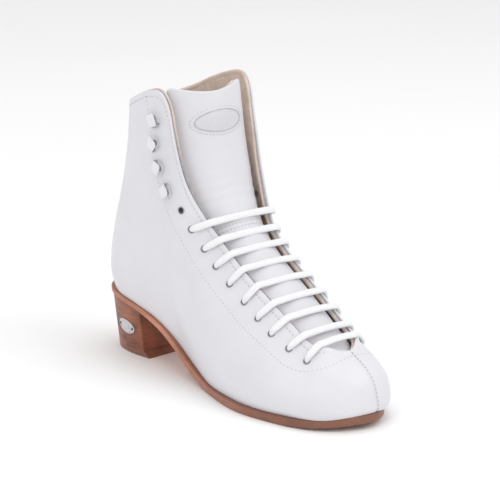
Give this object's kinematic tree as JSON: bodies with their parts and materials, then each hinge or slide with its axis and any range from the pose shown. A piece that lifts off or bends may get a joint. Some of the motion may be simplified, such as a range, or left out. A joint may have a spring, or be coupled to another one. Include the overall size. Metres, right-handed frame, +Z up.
{
  "type": "figure skating boot",
  "caption": "Laced white leather figure skating boot with a raised stacked heel, hooks at the cuff, a padded tongue and a leather sole for a blade.",
  "frame": {"origin": "on the floor under the heel: a point on the heel's bottom face, on the boot's centre line", "axes": "+Z up, toe towards -Y, heel towards +Y, the outer (lateral) side towards -X; a right boot"},
  "size_m": [0.0929, 0.2568, 0.2032],
  "materials": {
    "white_leather": "smooth top-grain leather, low sheen, faint grain",
    "lining": "brushed beige split leather",
    "sole_leather": "stained and waxed sole leather",
    "heel_leather": "stacked leather, stained and burnished",
    "top_piece": "dark dense rubber",
    "steel": "plain",
    "badge_metal": "satin plate",
    "dark_pins": "blackened",
    "eyelet_metal": "plain",
    "hook_enamel": "white enamel",
    "lace": "woven white cotton",
    "lace_tip": "clear white",
    "cork": "pressed cork",
    "board": "fibre board",
    "footbed": "smooth lining leather on foam",
    "foam": "soft foam",
    "stiffener": "thermoplastic sheet",
    "interlining": "canvas"
  },
  "bodies": {
    "boot": {"ankle_padding_lateral": "foam", "ankle_padding_medial": "foam", "back_stay": "white_leather", "eyelets_lateral": "eyelet_metal", "eyelets_medial": "eyelet_metal", "eyestay_lateral": "interlining", "eyestay_medial": "interlining", "footbed": "footbed", "forepart_filler": "cork", "heel_badge": "badge_metal", "heel_badge_pins": "dark_pins", "heel_counter": "stiffener", "heel_lift_1": "heel_leather", "heel_lift_2": "heel_leather", "heel_lift_3": "heel_leather", "heel_lift_4": "heel_leather", "heel_lift_5": "heel_leather", "heel_nails": "steel", "heel_top_piece": "top_piece", "hook_rivets_lateral": "steel", "hook_rivets_medial": "steel", "hooks_lateral": "hook_enamel", "hooks_medial": "hook_enamel", "insole_board": "board", "lace": "lace", "lace_tips": "lace_tip", "lining_lateral": "lining", "lining_medial": "lining", "outsole": "sole_leather", "quarter_interlining_lateral": "interlining", "quarter_interlining_medial": "interlining", "shank": "steel", "toe_box": "stiffener", "tongue_lower_leather": "white_leather", "tongue_lower_lining": "lining", "tongue_lower_padding": "foam", "upper_lateral": "white_leather", "upper_medial": "white_leather"},
    "tongue": {"tongue_patch": "white_leather", "tongue_upper_leather": "white_leather", "tongue_upper_lining": "lining", "tongue_upper_padding": "foam"}
  },
  "joints": [
    {"name": "tongue_flex", "type": "hinge", "parent": "boot", "child": "tongue", "pos_m": [0, -0.0923, 0.1245], "axis": [1, 0, 0], "range_deg": [0, 35]}
  ]
}
